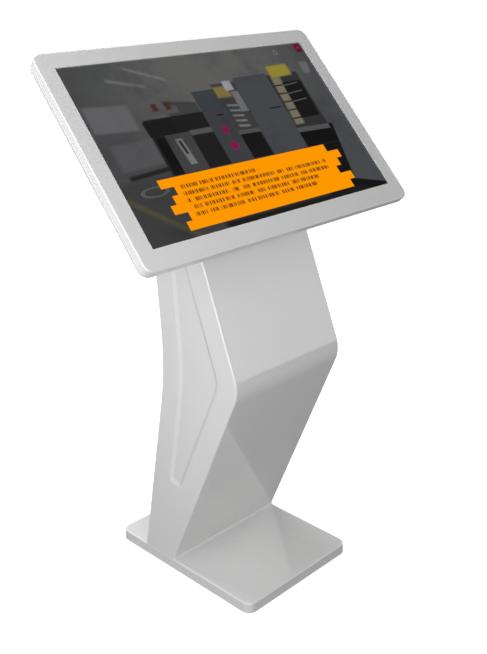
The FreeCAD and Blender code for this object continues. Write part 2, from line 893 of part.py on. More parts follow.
def power_rocker():
    """A rocker with two flats at a shallow angle, built in its on position."""
    half_w, half_h = rocker_size[0] / 2, rocker_size[1] / 2
    rise = rocker_rise()
    low_h = half_h * rocker_draft
    profile = [(-half_h, rise), (0, rocker_dip), (half_h, rise),
               (low_h, -rocker_skirt), (-low_h, -rocker_skirt)]
    points = [Vector(rocker_x - half_w, y, z + rocker_proud) for y, z in profile]
    body = Part.Face(Part.makePolygon(points + points[:1])).extrude(Vector(2 * half_w, 0, 0))
    reach = half_w + rocker_clear + trunnion_reach
    body = fuse([body, rod_x(trunnion_r, rocker_x - reach, rocker_x + reach, 0, -rocker_pivot_depth)])
    body.rotate(Vector(rocker_x, 0, -rocker_pivot_depth), Vector(1, 0, 0), -rocker_angle)
    return on_lower_rear(body, inlet_z)


def button_housing():
    body = fuse([rod(button_ring_r, button_x, 0, 0, button_flange),
                 rod(button_ring_r - button_flange - screw_gap, button_x, 0, -button_depth, seat_overlap)])
    well = rod(button_cap_r + running_gap, button_x, 0, -button_depth + button_floor, THROUGH)
    return on_lower_rear(body.cut(well), inlet_z)


def power_button():
    low = -button_depth + button_floor + button_travel + cover_gap
    body = rod(button_cap_r, button_x, 0, low, button_proud)
    body = body.makeFillet(button_edge_r, edges_at_height(body, button_proud))
    return on_lower_rear(body, inlet_z)


# ---------------------------------------------------------------- fan
def fan_screw_places():
    p = fan_screw_pitch / 2
    return [(sx * p, sy * p) for sx in (-1, 1) for sy in (-1, 1)]


fan_front = -skin
fan_back = -skin - fan_thick


def fan_housing():
    """The square fan frame with its motor seat on four arms."""
    h = fan_size / 2
    body = slab(-h, h, -h, h, fan_back, fan_front, fan_corner_r)
    body = body.cut(rod(fan_bore_r, 0, 0, fan_back - 1, fan_front + 1))
    seat = rod(fan_hub_r, 0, 0, fan_back, fan_back + fan_seat_thick)
    spindle = rod(fan_spindle_r, 0, 0, fan_back, fan_back + fan_spindle_length)
    reach, half_arm, arm_top = fan_bore_r + seat_overlap, fan_arm[0] / 2, fan_back + fan_arm[1]
    arms = [box(-reach, reach, -half_arm, half_arm, fan_back, arm_top),
            box(-half_arm, half_arm, -reach, reach, fan_back, arm_top)]
    body = fuse([body, seat, spindle] + arms)
    for x, y in fan_screw_places():
        body = body.cut(rod(screw_r + screw_gap, x, y, fan_back - 1, fan_front + 1))
    return on_upper_rear(body, fan_z)


def fan_rotor():
    """The hub and its blades, on the motor seat's spindle."""
    low, high = fan_back + fan_seat_thick + cover_gap * 2, fan_front - fan_front_gap
    parts = [rod(fan_hub_r, 0, 0, low, high)]
    tip = fan_bore_r - fan_tip_gap
    half_chord, half_thick = blade_chord / 2, blade_thick / 2
    for i in range(fan_blades):
        blade = box(fan_hub_r - 1.0, tip + 4.0, -half_thick, half_thick, -half_chord, half_chord)
        blade.rotate(Vector(0, 0, 0), Vector(1, 0, 0), blade_pitch)
        blade.translate(Vector(0, 0, (low + high) / 2))
        blade.rotate(Vector(0, 0, 0), Vector(0, 0, 1), 360.0 / fan_blades * i)
        parts.append(blade)
    body = fuse(parts).common(rod(tip, 0, 0, low, high))
    bore_top = fan_back + fan_spindle_length + cover_gap
    return on_upper_rear(body.cut(rod(fan_spindle_r + running_gap, 0, 0, low - 1, bore_top)), fan_z)


def fan_guard():
    """A wire guard of rings on two crossed bars, with four eyes for the screws."""
    z = guard_wire_r
    rings = [Part.makeTorus(r, guard_wire_r, Vector(0, 0, z)) for r in guard_rings]
    reach = fan_screw_pitch / math.sqrt(2) - 3.0
    bars = []
    for turn in (45, 135):
        bar = rod_x(guard_wire_r, -reach, reach, 0, guard_height - guard_wire_r - guard_bar_drop)
        bar.rotate(Vector(0, 0, 0), Vector(0, 0, 1), turn)
        bars.append(bar)
    eyes = [rod(guard_eye_r, x, y, 0, guard_height) for x, y in fan_screw_places()]
    body = fuse(rings + bars + eyes)
    for x, y in fan_screw_places():
        body = body.cut(rod(screw_r + screw_gap, x, y, -THROUGH, THROUGH))
    return on_upper_rear(body, fan_z)


def pan_screw(radius, x, y, seat, depth):
    """A screw with a low domed head on the plane at seat and a shank going down by depth."""
    head = rod(radius * 2, x, y, seat, seat + radius * 0.9)
    head = head.makeFillet(radius * 0.6, edges_at_height(head, seat + radius * 0.9))
    slot = box(x - radius * 1.3, x + radius * 1.3, y - 0.35, y + 0.35, seat + radius * 0.5, seat + 9)
    cross = box(x - 0.35, x + 0.35, y - radius * 1.3, y + radius * 1.3, seat + radius * 0.5, seat + 9)
    return fuse([head, rod(radius, x, y, seat - depth, seat)]).cut(slot).cut(cross)


def fan_screws():
    depth = skin + fan_thick - 4.0 + guard_height
    return [on_upper_rear(pan_screw(screw_r, x, y, guard_height, depth), fan_z)
            for x, y in fan_screw_places()]


# ---------------------------------------------------------------- equipment
def inner_front_y(z):
    """The inner face of the lower front skin at height z."""
    return at_height(Vector(0, column_front_y, base_top), Vector(0, knee_y, knee_z), z).y + skin * 1.2


def inner_rear_y(z):
    return lower_rear_point(z).y - skin * 1.2


shelf_front = inner_front_y(shelf_z) + shelf_front_gap
shelf_back = inner_rear_y(shelf_z + shelf_lip) - door_flange - shelf_back_gap


def equipment_shelf():
    """A tray across the column, bolted between the ribs by its turned-up ends."""
    x = upright_face
    parts = [box(-x, x, shelf_front, shelf_back, shelf_z, shelf_z + shelf_thick)]
    for side in (-1, 1):
        a, b = side * x, side * (x - shelf_thick)
        parts.append(box(min(a, b), max(a, b), shelf_front, shelf_back, shelf_z, shelf_z + shelf_lip))
    parts.append(box(-x, x, shelf_back - shelf_thick, shelf_back, shelf_z, shelf_z + shelf_lip / 2))
    return fuse(parts)


def media_player():
    """The small computer on the shelf, with cooling ribs on its lid."""
    w, d, h = player_size
    y0 = shelf_front + player_gap
    z0 = shelf_z + shelf_thick
    body = slab(-w / 2, w / 2, y0, y0 + d, z0, z0 + h, 6.0)
    for i in range(player_grooves):
        x = -w / 2 + 15.0 + i * (w - 30.0) / (player_grooves - 1)
        body = body.cut(box(x - 2.0, x + 2.0, y0 + 8.0, y0 + d - 8.0, z0 + h - 3.0, z0 + h + 1))
    return body


supply_y = (foot_plate_y[0] - supply_overhang, foot_plate_y[0] - supply_overhang + supply_size[1])


def power_supply():
    """The power supply across the foot plate."""
    w, d, h = supply_size
    z0 = base_top + foot_plate_thick + supply_post
    body = slab(-w / 2, w / 2, supply_y[0], supply_y[1], z0, z0 + h, 4.0)
    for i in range(supply_grooves):
        x = -w / 2 + 16.0 + i * (w - 32.0) / (supply_grooves - 1)
        y0, y1 = supply_y[0] + 8.0, supply_y[1] - 8.0
        body = body.cut(box(x - 1.5, x + 1.5, y0, y1, z0 + h - 2.0, z0 + h + 1))
    return body


def supply_spacers():
    """Four short posts under the power supply."""
    z0 = base_top + foot_plate_thick
    w = supply_size[0] / 2 - 12.0
    rows = (foot_plate_y[0] + 5.0, supply_y[1] - 8.0)
    return [rod(4.0, x, y, z0, z0 + supply_post) for x in (-w, w) for y in rows]


def terminal_strip():
    """The mains distribution block under the shelf."""
    w, d, h = strip_size
    y0 = shelf_front + strip_gap
    z1 = shelf_z
    body = box(-w / 2, w / 2, y0, y0 + d, z1 - h, z1)
    for i in range(strip_ways):
        x = -w / 2 + 6.0 + (i + 0.5) * (w - 12.0) / strip_ways
        body = body.cut(box(x - 4.0, x + 4.0, y0 - 1, y0 + 8.0, z1 - h + 3.0, z1 - h + 13.0))
    return body


# ---------------------------------------------------------------- head casing
def head_frame():
    """The front frame: a flat face round the screen and a skirt behind it."""
    body = slab(-head_half, head_half, head_low, head_top, -frame_depth, 0, head_corner_r)
    body = body.makeFillet(head_edge_r, edges_at_height(body, 0))
    body = body.makeFillet(seam_edge_r, edges_at_height(body, -frame_depth))
    w = head_wall
    body = body.cut(slab(-head_half + w, head_half - w, head_low + w, head_top - w,
                         -frame_depth - 1, -face_thick, head_corner_r - w))
    x, y = screen_width / 2, screen_height / 2
    body = body.cut(slab(-x, x, -y, y, -THROUGH, THROUGH, screen_corner_r))
    return on_head(body)


housing = (-head_half + housing_inset, head_half - housing_inset,
           head_low + housing_inset, head_top - housing_inset)
cover_u = column_u1 + cover_rise + cover_size[1]
speaker_u = housing[2] + speaker_rise


back_cut = -rim_depth - 5.0


def rear_shell():
    """The head's back: a rim like the frame's and a shallow housing behind it."""
    rim = slab(-head_half, head_half, head_low, head_top, -rim_depth, -frame_depth, head_corner_r)
    rim = rim.makeFillet(rim_edge_r, edges_at_height(rim, -rim_depth))
    rim = rim.makeFillet(seam_edge_r, edges_at_height(rim, -frame_depth))
    x0, x1, y0, y1 = housing
    back = tapered_slab(x0, x1, y0, y1, -rim_depth + 1, -housing_depth, housing_corner_r, housing_taper)
    body = fuse([rim, back])
    w = head_wall
    hollow = slab(-head_half + w, head_half - w, head_low + w, head_top - w,
                  -rim_depth + w, -frame_depth + 1, head_corner_r - w)
    body = body.cut(hollow.makeFillet(rim_edge_r - w, edges_at_height(hollow, -rim_depth + w)))
    body = body.cut(tapered_slab(x0 + w, x1 - w, y0 + w, y1 - w, -rim_depth + w + 1, -housing_depth + w,
                                 housing_corner_r - w, housing_taper))
    body = body.cut(cable_opening(back_cut))
    for x, u in head_bolts:
        body = body.cut(rod(bolt_r + screw_gap, x, u, -THROUGH, back_cut))
    cx, cy = cover_size[0] - cover_lap, cover_size[1] - cover_lap
    body = body.cut(slab(-cx, cx, cover_u - cy, cover_u + cy, -THROUGH, back_cut, cover_lap / 2))
    for x, u in cover_screw_places():
        body = body.cut(rod(screw_r + screw_gap, x, u, -THROUGH, back_cut))
    for slot in vent_slots() + speaker_slots():
        body = body.cut(slot)
    for x, u in rim_screw_places():
        body = body.cut(rod(screw_r + screw_gap, x, u, -THROUGH, 0))
    return on_head(body)


def slot_cut(x, u, width, height):
    """A round-ended slot through the housing's back."""
    return slab(x - width / 2, x + width / 2, u - height / 2, u + height / 2, -THROUGH, back_cut,
                min(width, height) / 2 - 0.01)


def vent_slots():
    """Two banks of upright cooling slots beside the service cover."""
    return [slot_cut(side * (vent_slot_x + vent_slot_pitch * i), cover_u, *vent_slot)
            for side in (-1, 1) for i in range(vent_slots_each)]


def speaker_slots():
    """Sound slots over each speaker."""
    middle = (speaker_slots_each - 1) / 2
    return [slot_cut(side * speaker_x, speaker_u + speaker_slot_pitch * (i - middle), *speaker_slot)
            for side in (-1, 1) for i in range(speaker_slots_each)]


def rim_screw_places():
    """Screws that pull the rim against the frame, round the head's edge."""
    low, high = head_low + rim_screw_inset, head_top - rim_screw_inset
    end, x = head_half - rim_screw_corner, head_half - rim_screw_inset
    row = [-end + 2 * end * i / 4 for i in range(5)]
    return [(p, low) for p in row] + [(p, high) for p in row] + [(-x, 0.0), (x, 0.0)]


def rim_screws():
    """The rim's screws, driven from behind into posts."""
    screws = []
    for x, u in rim_screw_places():
        screw = pan_screw(screw_r, x, u, rim_depth, rim_screw_length)
        screw.rotate(Vector(x, u, 0), Vector(0, 1, 0), 180)
        screws.append(on_head(screw))
    return screws


def rim_posts():
    """Threaded posts behind the frame's face, one for each rim screw."""
    posts = []
    for x, u in rim_screw_places():
        post = rod(rim_post_r, x, u, -rim_depth + head_wall, -face_thick)
        bore = rod(screw_r + screw_gap, x, u, -THROUGH, -rim_depth + rim_screw_length + 2.0)
        posts.append(on_head(post.cut(bore)))
    return posts


def cover_screw_places():
    cx, cy = cover_size
    x, u = cx - cover_screw_inset, cy - cover_screw_inset
    return [(sx * x, cover_u + su * u) for sx in (-1, 1) for su in (-1, 1)]


def service_cover():
    """The plate over the head's connectors, outside the housing's back."""
    cx, cy = cover_size
    back = -housing_depth
    body = slab(-cx, cx, cover_u - cy, cover_u + cy, back - cover_thick, back, 5.0)
    for x, u in cover_screw_places():
        body = body.cut(rod(screw_r + screw_gap, x, u, -THROUGH, 0))
    return on_head(body)


def cover_screws():
    screws = []
    for x, u in cover_screw_places():
        screw = pan_screw(screw_r, x, u, housing_depth + cover_thick, cover_thick + head_wall + 4.0)
        screw.rotate(Vector(x, u, 0), Vector(0, 1, 0), 180)
        screws.append(on_head(screw))
    return screws


# ---------------------------------------------------------------- display stack
def ring(half_x, half_y, width, z0, z1):
    outer = box(-half_x, half_x, -half_y, half_y, z0, z1)
    return outer.cut(box(-half_x + width, half_x - width, -half_y + width, half_y - width, z0 - 1, z1 + 1))


def glass_gasket():
    z0 = -face_thick - gasket_thick
    return on_head(ring(glass_width / 2, glass_height / 2, gasket_width, z0, -face_thick))


def cover_glass():
    z0 = glass_back
    x, y = glass_width / 2, glass_height / 2
    return on_head(slab(-x, x, -y, y, z0, z0 + glass_thick, 3.0))


def touch_frame():
    """The touch sensor's frame round the back of the glass."""
    return on_head(ring(glass_width / 2, glass_height / 2, touch_width, lcd_front, glass_back))


def lcd_panel():
    """The display panel with its shallow metal back."""
    x, y = glass_width / 2 - 1.0, glass_height / 2 - 1.0
    step, inset = lcd_back + lcd_back_step, lcd_back_inset
    front = box(-x, x, -y, y, step, lcd_front)
    back = box(-x + inset, x - inset, -y + inset, y - inset, lcd_back, step)
    return on_head(fuse([front, back]))


rail_low = head_low + rim_edge_r + 1.0
rail_high = head_top - rim_edge_r - 1.0


def lcd_rail(side):
    """An upright rail that clamps the display into the frame, with its ends cranked forward."""
    x0, x1 = side * rail_x - rail_width / 2, side * rail_x + rail_width / 2
    z0, z1 = lcd_back - rail_thick, lcd_back
    parts = [box(x0, x1, rail_low, rail_high, z0, z1)]
    for u0, u1 in ((rail_low, rail_low + 12.0), (rail_high - 12.0, rail_high)):
        parts.append(box(x0, x1, u0, u1, z0, -face_thick))
    return on_head(fuse(parts))


def mount_plate():
    """The plate inside the head that the column is bolted to."""
    u0, u1 = column_u0 + mount_plate_margin, column_u1 - mount_plate_margin
    z0 = -housing_depth + head_wall
    body = slab(-mount_plate_half, mount_plate_half, u0, u1, z0, z0 + mount_plate_thick, 10.0)
    body = body.cut(cable_opening())
    for x, u in head_bolts:
        body = body.cut(rod(bolt_r + screw_gap, x, u, -THROUGH, 0))
    return on_head(body)


def board(x0, x1, u0, u1, chips):
    """A circuit board on the display's back, with blocks for its main components."""
    top = lcd_back - board_gap
    parts = [box(x0, x1, u0, u1, top - board_thick, top)]
    for cx, cu, w, h, t in chips:
        x, u, seat = x0 + cx, u0 + cu, top - board_thick
        parts.append(box(x, x + w, u, u + h, seat - t, seat))
    return on_head(fuse(parts))


def controller_board():
    chips = [(10, 10, 26, 26, 4.0), (50, 14, 18, 18, 2.5), (84, 8, 40, 14, 9.0), (84, 32, 22, 16, 6.0),
             (126, 34, 16, 20, 11.0)]
    return board(*controller_area, chips)


def lighting_board():
    chips = [(8, 8, 24, 20, 10.0), (40, 10, 12, 12, 12.0), (60, 10, 12, 12, 12.0), (84, 30, 28, 20, 8.0)]
    return board(*lighting_area, chips)


def touch_board():
    chips = [(8, 8, 14, 14, 2.0), (40, 6, 30, 8, 6.0)]
    return board(*touch_area, chips)


def board_posts():
    """Short posts between the boards and the display's back."""
    posts = []
    for x0, x1, u0, u1 in (controller_area, lighting_area, touch_area):
        for x in (x0 + board_post_inset, x1 - board_post_inset):
            for u in (u0 + board_post_inset, u1 - board_post_inset):
                posts.append(on_head(rod(board_post_r, x, u, lcd_back - board_gap, lcd_back)))
    return posts


def speaker(side):
    """A slim loudspeaker box with its cone facing the sound slots."""
    w, h, t = speaker_size
    x = side * speaker_x
    z0 = -housing_depth + head_wall
    body = slab(x - w / 2, x + w / 2, speaker_u - h / 2, speaker_u + h / 2, z0, z0 + t, 5.0)
    cone = Part.makeCone(22.0, 9.0, 6.0, Vector(x, speaker_u, z0))
    dome = Part.makeCone(8.0, 6.0, 3.0, Vector(x, speaker_u, z0 + 3.0))
    return on_head(fuse([body.cut(cone), dome]))


# ---------------------------------------------------------------- all nodes
def build():
    os.makedirs(PARTS, exist_ok=True)
    save("base_shell", base_shell())
    save("ballast_plate", ballast_plate())
    save("foot_bushes", foot_bushes())
    save("foot_nuts", foot_nuts())
    for i, (x, y) in enumerate(foot_places()):
        save("levelling_foot_%d" % (i + 1), levelling_foot(x, y))
    save("column_bolts", bolts_up(base_bolts, bolt_r, ballast_low, base_top + foot_plate_thick, 5.0))
    save("foot_plate", foot_plate())
    save("rib_bolts", rib_bolts())
    save("front_panel", front_panel())
    save("rear_panel", rear_panel())
    for name, side in (("left", -1), ("right", 1)):
        save("side_panel_" + name, side_panel(side))
        save("rib_" + name, rib(side))
        save("lcd_rail_" + name, lcd_rail(side))
        save("speaker_" + name, speaker(side))
    save("rear_door", rear_door())
    save("hinge_leaves_panel", [hinge_leaf(c, -1) for c in (-hinge_offset, hinge_offset)])
    save("hinge_leaves_door", [hinge_leaf(c, 1) for c in (-hinge_offset, hinge_offset)])
    save("hinge_pins", hinge_pins())
    save("lock_barrel", lock_barrel())
    save("lock_nut", lock_nut())
    save("lock_rotor", lock_rotor())
    save("lock_cam", lock_cam())
    save("inlet_module", inlet_module())
    save("inlet_pins", inlet_pins())
    save("power_rocker", power_rocker())
    save("button_housing", button_housing())
    save("power_button", power_button())
    save("fan_housing", fan_housing())
    save("fan_rotor", fan_rotor())
    save("fan_guard", fan_guard())
    save("fan_screws", fan_screws())
    save("equipment_shelf", equipment_shelf())
    save("media_player", media_player())
    save("power_supply", power_supply())
    save("supply_spacers", supply_spacers())
    save("terminal_strip", terminal_strip())
    save("head_bracket", head_bracket())
    save("head_bolts", head_bolt_set())
    save("head_frame", head_frame())
    save("rear_shell", rear_shell())
    save("rim_posts", rim_posts())
    save("rim_screws", rim_screws())
    save("service_cover", service_cover())
    save("cover_screws", cover_screws())
    save("glass_gasket", glass_gasket())
    save("cover_glass", cover_glass())
    save("touch_frame", touch_frame())
    save("lcd_panel", lcd_panel())
    save("mount_plate", mount_plate())
    save("controller_board", controller_board())
    save("lighting_board", lighting_board())
    save("touch_board", touch_board())
    save("board_posts", board_posts())


build()
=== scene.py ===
import json
import math

import bmesh
import bpy
from mathutils import Matrix, Vector


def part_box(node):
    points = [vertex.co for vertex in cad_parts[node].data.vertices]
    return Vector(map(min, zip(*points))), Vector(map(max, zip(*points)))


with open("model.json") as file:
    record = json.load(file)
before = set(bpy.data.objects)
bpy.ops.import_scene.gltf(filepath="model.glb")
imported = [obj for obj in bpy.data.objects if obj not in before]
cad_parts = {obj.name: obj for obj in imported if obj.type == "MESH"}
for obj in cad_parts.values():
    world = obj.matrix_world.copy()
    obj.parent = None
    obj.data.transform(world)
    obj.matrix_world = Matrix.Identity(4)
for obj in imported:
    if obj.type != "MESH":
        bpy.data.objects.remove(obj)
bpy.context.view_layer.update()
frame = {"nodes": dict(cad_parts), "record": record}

# Metres, in the kiosk's own frame: the visitor stands at -Y, +X is to their right, +Z is up.
MM = 0.001

# ---------------------------------------------------------------- sizes
head_tilt = math.radians(42.4)
head_right = Vector((1, 0, 0))
head_up = Vector((0, math.sin(head_tilt), math.cos(head_tilt)))
head_out = Vector((0, -math.cos(head_tilt), math.sin(head_tilt)))
glass_low, glass_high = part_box("cover_glass")
glass_middle = (glass_low + glass_high) / 2
screen_half_width = 349.2 * MM
screen_half_height = 196.45 * MM
chips_behind_glass = 34.0 * MM

# camera
camera_place = Vector((-1.4609, -1.3811, 1.3210))
camera_yaw = math.radians(45.124)
camera_pitch = math.radians(-14.325)
camera_roll = math.radians(0.13)
camera_lens = 55.50
camera_shift = (0.05, -0.20)
camera_clip = (0.05, 50.0)

# studio
light_target = Vector((0.0, 0.0, 0.70))
light_distance = 2.6
near_light_distance = 1.35
light_size = 1.4
white = (1.0, 1.0, 1.0)
# light from below the level, full where a ray falls by glow_full of its length
floor_glow = 0.28
glow_full = -0.3
# half the floor's side, how far it lies under the feet, and where it starts and ends turning white
floor_reach = 60.0
floor_drop = 0.5 * MM
floor_fade = (0.5, 3.0)


# ---------------------------------------------------------------- shader expressions
class Signal:
    """One output socket; arithmetic on it adds Math nodes."""

    def __init__(self, shading, socket):
        self.shading = shading
        self.socket = socket

    def math(self, operation, *values):
        return self.shading.node("ShaderNodeMath", {"operation": operation},
                                 dict(enumerate(values)))

    def __add__(self, other):
        return self.math("ADD", self, other)

    def __radd__(self, other):
        return self.math("ADD", other, self)

    def __sub__(self, other):
        return self.math("SUBTRACT", self, other)

    def __rsub__(self, other):
        return self.math("SUBTRACT", other, self)

    def __mul__(self, other):
        return self.math("MULTIPLY", self, other)

    def __rmul__(self, other):
        return self.math("MULTIPLY", other, self)

    def __truediv__(self, other):
        return self.math("DIVIDE", self, other)

    def __rtruediv__(self, other):
        return self.math("DIVIDE", other, self)

    def __abs__(self):
        return self.math("ABSOLUTE", self)

    def peak(self, other):
        return self.math("MAXIMUM", self, other)

    def power(self, other):
        return self.math("POWER", self, other)

    def wrapped(self, step):
        return self.math("WRAP", self, step, 0.0)

    def rise(self, low, high):
        """A soft step from 0 at low to 1 at high."""
        return self.shading.node("ShaderNodeMapRange", {"interpolation_type": "SMOOTHSTEP"},
                                 {"Value": self, "From Min": low, "From Max": high})


class Shading:
    """A node tree; node() adds every node that it doesn't start with."""

    def __init__(self, tree):
        self.tree = tree

    def feed(self, socket, value):
        if isinstance(value, Signal):
            self.tree.links.new(value.socket, socket)
        elif socket.type == "RGBA" and len(value) == 3:
            socket.default_value = (*value, 1.0)
        else:
            socket.default_value = value

    def node(self, kind, settings=None, inputs=None, output=0):
        made = self.tree.nodes.new(kind)
        for name, value in (settings or {}).items():
            setattr(made, name, value)
        for name, value in (inputs or {}).items():
            self.feed(made.inputs[name], value)
        return Signal(self, made.outputs[output])

    def part(self, vector, axis):
        return self.node("ShaderNodeSeparateXYZ", inputs={0: vector}, output=axis)


class Finish(Shading):
    """A material with one main shader."""

    def __init__(self, name):
        self.material = bpy.data.materials.new(name)
        self.material.use_nodes = True
        super().__init__(self.material.node_tree)
        self.shader = self.tree.nodes["Principled BSDF"]

    def set(self, **values):
        """Values or links for the main shader, named as its sockets with _ for spaces."""
        for name, value in values.items():
            self.feed(self.shader.inputs[name.replace("_", " ")], value)

    def place(self):
        return self.node("ShaderNodeTexCoord", output="Object")

    def along(self, vector, direction):
        return self.node("ShaderNodeVectorMath", {"operation": "DOT_PRODUCT"},
                         {0: vector, 1: tuple(direction)}, output="Value")

    def stretched(self, vector, scale):
        return self.node("ShaderNodeVectorMath", {"operation": "MULTIPLY"}, {0: vector, 1: scale})

    def noise(self, vector, scale, detail, roughness=0.5):
        return self.node("ShaderNodeTexNoise", inputs={"Vector": vector, "Scale": scale,
                                                       "Detail": detail, "Roughness": roughness})

    def streaks(self, way, detail):
        """Noise that changes along one way only."""
        return self.node("ShaderNodeTexNoise", {"noise_dimensions": "1D"},
                         {"W": way, "Scale": 1.0, "Detail": detail})

    def cells(self, vector, scale):
        return self.node("ShaderNodeTexVoronoi", {"feature": "F1"},
                         {"Vector": vector, "Scale": scale}, output="Distance")

    def mix(self, share, first, second):
        """The colour first where share is 0 and second where it is 1."""
        return self.node("ShaderNodeMix", {"data_type": "RGBA"}, {0: share, 6: first, 7: second},
                         output=2)

    def bump(self, height, depth):
        return self.node("ShaderNodeBump", inputs={"Height": height, "Distance": depth,
                                                   "Strength": 1.0})

# ---------------------------------------------------------------- camera and light
def ray_towards(turn, climb):
    """The direction that is turned from +Y towards +X and climbs from the level, in radians."""
    return Vector((math.sin(turn) * math.cos(climb), math.cos(turn) * math.cos(climb),
                   math.sin(climb)))


def camera():
    """A camera at a visitor's eye height, to the left of the kiosk's front."""
    forward = ray_towards(camera_yaw, camera_pitch)
    across = Vector((math.cos(camera_yaw), -math.sin(camera_yaw), 0))
    upward = across.cross(forward)
    turned = across * math.cos(camera_roll) + upward * math.sin(camera_roll)
    upward = turned.cross(forward)
    lens = bpy.data.cameras.new("visitor_view")
    lens.lens = camera_lens
    lens.shift_x, lens.shift_y = camera_shift
    lens.clip_start, lens.clip_end = camera_clip
    seen = bpy.data.objects.new("visitor_view", lens)
    seen.matrix_world = Matrix((
        (turned.x, upward.x, -forward.x, camera_place.x),
        (turned.y, upward.y, -forward.y, camera_place.y),
        (turned.z, upward.z, -forward.z, camera_place.z),
        (0, 0, 0, 1)))
    bpy.context.scene.collection.objects.link(seen)
    bpy.context.scene.camera = seen


def soft_light(name, turn, climb, watts, distance=light_distance):
    """A square area light facing the kiosk's upper part, placed by turn and climb in degrees."""
    ray = ray_towards(math.radians(turn), math.radians(climb))
    lamp = bpy.data.lights.new(name, "AREA")
    lamp.shape = "SQUARE"
    lamp.size = light_size
    lamp.energy = watts
    holder = bpy.data.objects.new(name, lamp)
    holder.location = light_target + ray * distance
    holder.rotation_euler = (-ray).to_track_quat("-Z", "Y").to_euler()
    holder.visible_camera = False
    bpy.context.scene.collection.objects.link(holder)


def studio():
    """Large soft lights all round in a white room, strongest from behind and the front left."""
    soft_light("rear_low_light", 0, 10, 20)
    soft_light("rear_high_light", 0, 40, 22)
    soft_light("front_left_light", 225, 10, 37)
    soft_light("left_light", 270, 10, 9)
    soft_light("right_light", 90, 10, 23)
    soft_light("front_right_light", 135, 10, 7)
    soft_light("front_light", 180, 10, 2)
    soft_light("high_front_left_light", 225, 45, 12)
    soft_light("top_light", 45, 65, 24)
    soft_light("near_left_light", 280, 24, 9, distance=near_light_distance)
    world = bpy.data.worlds.new("white_room")
    world.use_nodes = True
    room = Shading(world.node_tree)
    height = room.part(room.node("ShaderNodeTexCoord", output="Generated"), "Z")
    below = room.node("ShaderNodeMapRange", inputs={"Value": height, "From Min": glow_full,
                                                    "From Max": 0.0, "To Min": floor_glow,
                                                    "To Max": 0.0})
    glow = room.tree.nodes["Background"]
    room.feed(glow.inputs["Color"], white)
    room.feed(glow.inputs["Strength"], below)
    backdrop = room.node("ShaderNodeBackground", inputs={"Color": white})
    seen = room.node("ShaderNodeLightPath", output="Is Camera Ray")
    chosen = room.node("ShaderNodeMixShader", inputs={
        0: seen, 1: Signal(room, glow.outputs[0]), 2: backdrop})
    room.feed(room.tree.nodes["World Output"].inputs["Surface"], chosen)
    bpy.context.scene.world = world
    bpy.context.scene.view_settings.view_transform = "Standard"


# ---------------------------------------------------------------- finishes
def gloss_white_coat():
    """White gloss powder coat: faint orange peel, soft clouds of tone and a little floor dust."""
    dusty_to = 0.16
    coat = Finish("gloss_white_coat")
    here = coat.place()
    peel = coat.noise(here, 380.0, 2.0)
    cloud = coat.noise(here, 5.0, 3.0)
    smear = coat.noise(coat.stretched(here, (1.0, 1.0, 0.35)), 26.0, 4.0, 0.6)
    height = coat.part(here, "Z")
    dust = (1.0 - height.rise(0.0, dusty_to)) * coat.noise(here, 90.0, 4.0, 0.65).rise(0.42, 0.75)
    clean = coat.mix(cloud, (0.70, 0.70, 0.70), (0.735, 0.735, 0.73))
    coat.set(Base_Color=coat.mix(dust * 0.10, clean, (0.52, 0.50, 0.47)),
             Roughness=0.16 + smear * 0.06 + dust * 0.12,
             IOR=1.5, Coat_Weight=1.0, Coat_Roughness=0.05, Coat_IOR=1.5,
             Normal=coat.bump(peel, 0.01 * MM))
    return coat.material


def fine_black_moulding():
    """Black plastic with a fine moulded grain."""
    black = Finish("fine_black_moulding")
    here = black.place()
    grain = black.cells(here, 1400.0)
    cloud = black.noise(here, 40.0, 3.0)
    black.set(Base_Color=black.mix(cloud, (0.018, 0.018, 0.02), (0.034, 0.034, 0.036)),
              Roughness=0.42 + cloud * 0.16,
              Normal=black.bump(grain, 0.08 * MM))
    return black.material


def bright_plated_steel():
    """Bright plating with fine turning marks and handling scratches."""
    steel = Finish("bright_plated_steel")
    here = steel.place()
    marks = steel.noise(steel.stretched(here, (1.0, 1.0, 9.0)), 700.0, 3.0, 0.6)
    cloud = steel.noise(here, 60.0, 3.0)
    steel.set(Base_Color=steel.mix(cloud, (0.60, 0.60, 0.61), (0.74, 0.74, 0.75)),
              Metallic=1.0,
              Roughness=0.16 + marks * 0.14,
              Normal=steel.bump(marks, 0.03 * MM))
    return steel.material


def zinc_plated_sheet():
    """Zinc plate with its pale spangle and a dull film."""
    zinc = Finish("zinc_plated_sheet")
    here = zinc.place()
    spangle = zinc.cells(here, 120.0)
    film = zinc.noise(here, 22.0, 4.0, 0.6)
    zinc.set(Base_Color=zinc.mix(spangle, (0.46, 0.47, 0.49), (0.66, 0.67, 0.68)),
             Metallic=1.0,
             Roughness=0.30 + film * 0.22,
             Normal=zinc.bump(spangle, 0.04 * MM))
    return zinc.material


def closed_cell_foam():
    """Black foam with small open pores."""
    foam = Finish("closed_cell_foam")
    here = foam.place()
    pores = foam.cells(here, 900.0)
    foam.set(Base_Color=foam.mix(pores, (0.012, 0.012, 0.012), (0.045, 0.045, 0.045)),
             Roughness=0.9,
             Normal=foam.bump(pores, 0.3 * MM))
    return foam.material


def contact_brass():
    """Plain brass, a little tarnished."""
    brass = Finish("contact_brass")
    here = brass.place()
    tarnish = brass.noise(here, 300.0, 4.0)
    brass.set(Base_Color=brass.mix(tarnish, (0.78, 0.58, 0.26), (0.52, 0.36, 0.16)),
              Metallic=1.0,
              Roughness=0.2 + tarnish * 0.25)
    return brass.material


